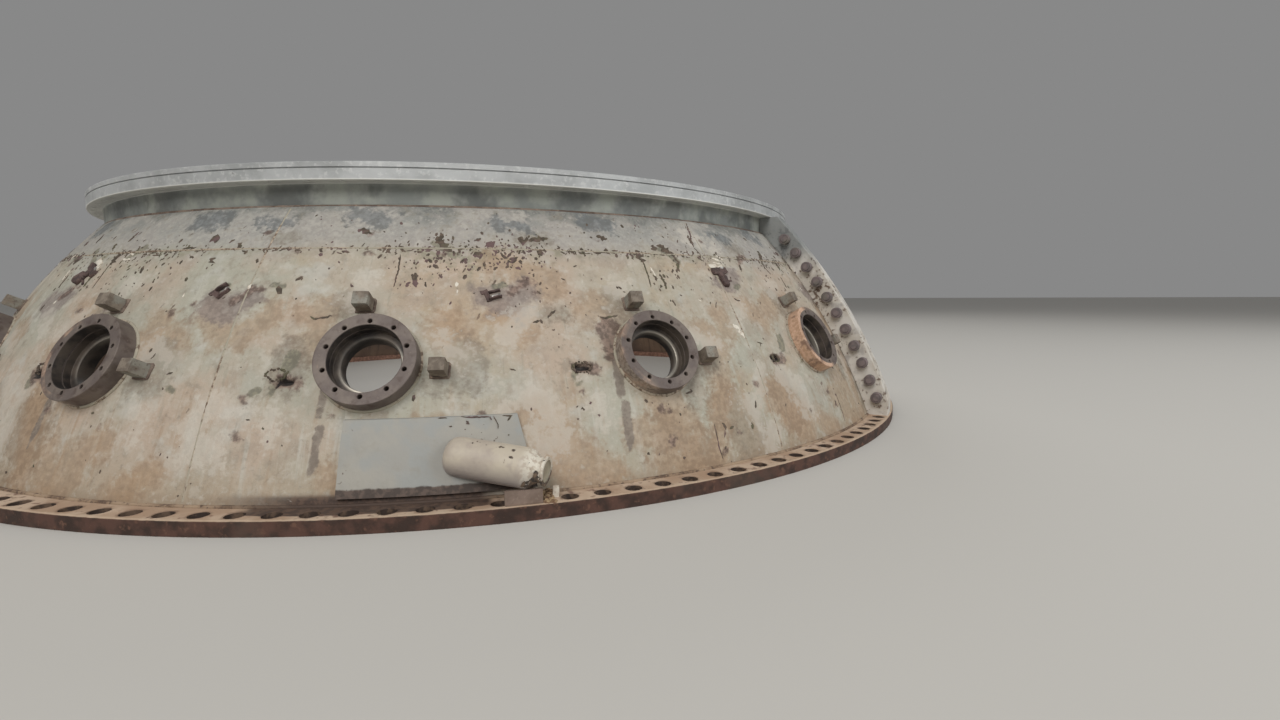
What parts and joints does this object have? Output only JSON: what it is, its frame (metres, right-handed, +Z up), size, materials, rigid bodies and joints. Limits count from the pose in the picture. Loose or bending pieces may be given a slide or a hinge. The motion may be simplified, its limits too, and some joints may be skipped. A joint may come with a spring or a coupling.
{
  "type": "bulb turbine guide vane outer ring",
  "caption": "Large welded outer ring for a bulb turbine's guide vanes: a convex shell with stem bores and bosses between a wide and a narrow flange, aged and stripped for repair.",
  "frame": {"origin": "centre of the large flange's underside, on the ring's axis", "axes": "+Z up the ring's axis towards the small flange, X through the two joints between the halves, +Y towards the back half"},
  "size_m": [8.96, 8.96, 1.89],
  "materials": {
    "aged_paint": "matt, chalky, stained and chipped off-white paint on cast steel",
    "worn_paint": "matt grey-white paint, worn to the steel in places",
    "joint_paint": "matt worn paint with rusty edges",
    "pipe_paint": "satin cream paint peeling at the end",
    "blue_grey_paint": "matt blue-grey paint with cracks at the edges",
    "rusty_flange": "rough brown rust",
    "grey_flange": "turned grey steel, dull",
    "boss_metal": "dark machined steel with a thin bloom of rust"
  },
  "bodies": {
    "root": {"shell_plate_01": "aged_paint", "shell_plate_02": "aged_paint", "shell_plate_03": "aged_paint", "shell_plate_04": "aged_paint", "shell_plate_05": "aged_paint", "shell_plate_06": "aged_paint", "shell_plate_07": "aged_paint", "shell_plate_08": "aged_paint", "shell_plate_09": "aged_paint", "shell_plate_10": "aged_paint", "stem_boss_01": "boss_metal", "stem_boss_02": "boss_metal", "stem_boss_03": "boss_metal", "stem_boss_04": "boss_metal", "stem_boss_05": "boss_metal", "stem_boss_06": "boss_metal", "stem_boss_07": "boss_metal", "stem_boss_08": "boss_metal", "stem_boss_09": "boss_metal", "stem_boss_10": "boss_metal", "stem_boss_11": "boss_metal", "stem_boss_12": "boss_metal", "stem_boss_13": "boss_metal", "stem_boss_14": "boss_metal", "stem_boss_15": "boss_metal", "stem_boss_16": "boss_metal", "lower_flange_front": "rusty_flange", "upper_course_front": "worn_paint", "top_flange_front": "grey_flange", "side_pad_front": "blue_grey_paint", "pipe_stub_front": "pipe_paint", "pipe_saddle_front": "rusty_flange", "joint_flange_east_front": "joint_paint", "joint_flange_west_front": "joint_paint", "lower_flange_back": "rusty_flange", "upper_course_back": "worn_paint", "top_flange_back": "grey_flange", "side_pad_back": "blue_grey_paint", "pipe_stub_back": "pipe_paint", "pipe_saddle_back": "rusty_flange", "joint_flange_east_back": "joint_paint", "joint_flange_west_back": "joint_paint"}
  },
  "joints": []
}
